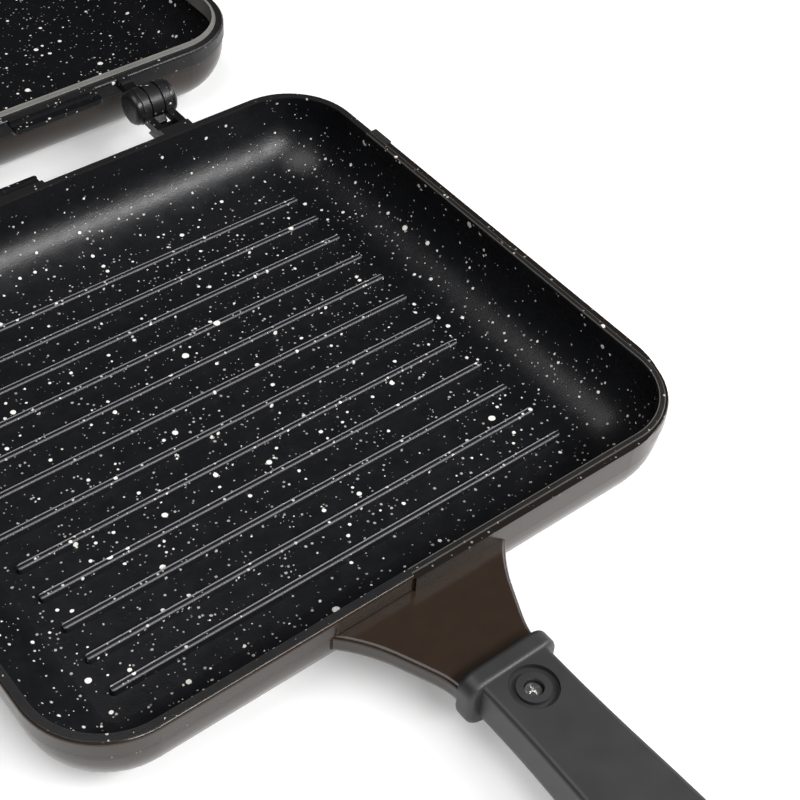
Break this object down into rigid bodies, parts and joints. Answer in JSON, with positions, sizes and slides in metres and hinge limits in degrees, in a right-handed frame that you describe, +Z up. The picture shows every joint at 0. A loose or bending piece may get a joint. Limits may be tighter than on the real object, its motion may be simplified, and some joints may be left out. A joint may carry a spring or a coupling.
{
  "type": "double sided flip pan",
  "caption": "Two rectangular cast pans hinged along one side, ribbed below and smooth above, each with a black handle; the upper pan is laid open flat.",
  "frame": {"origin": "middle of the lower pan's base, on the surface it stands on", "axes": "+X along the hinge, +Y from the handle towards the hinge, +Z up"},
  "size_m": [0.2792, 0.9806, 0.0444],
  "materials": {
    "coated_casting": "black speckled non-stick inside, glossy bronze brown enamel outside",
    "silicone": "satin grey silicone",
    "bakelite": "semi-matte black",
    "steel": "plain steel",
    "magnet": "nickel plated",
    "rubber_pad": "matte black",
    "black_steel": "gloss black",
    "nylon": "dark nylon"
  },
  "bodies": {
    "lower_half": {"lower_pan": "coated_casting", "lower_handle": "bakelite", "lower_handle_screw": "steel", "lower_magnet_cup": "steel", "lower_handle_magnet": "magnet", "lower_hanging_eyelet": "steel", "lower_ledge_pad": "rubber_pad", "right_hinge_pin": "black_steel", "right_pin_cap": "black_steel", "right_hinge_washers": "nylon"},
    "upper_half": {"upper_pan": "coated_casting", "rim_seal": "silicone", "upper_handle": "bakelite", "upper_handle_screw": "steel", "upper_magnet_cup": "steel", "upper_handle_magnet": "magnet", "upper_hanging_eyelet": "steel", "upper_ledge_pad": "rubber_pad", "left_hinge_pin": "black_steel", "left_pin_cap": "black_steel", "left_hinge_washers": "nylon"}
  },
  "joints": [
    {"name": "flip_hinge", "type": "hinge", "parent": "lower_half", "child": "upper_half", "pos_m": [0, 0.1526, 0.036], "axis": [1, 0, 0], "range_deg": [0, 180]}
  ]
}
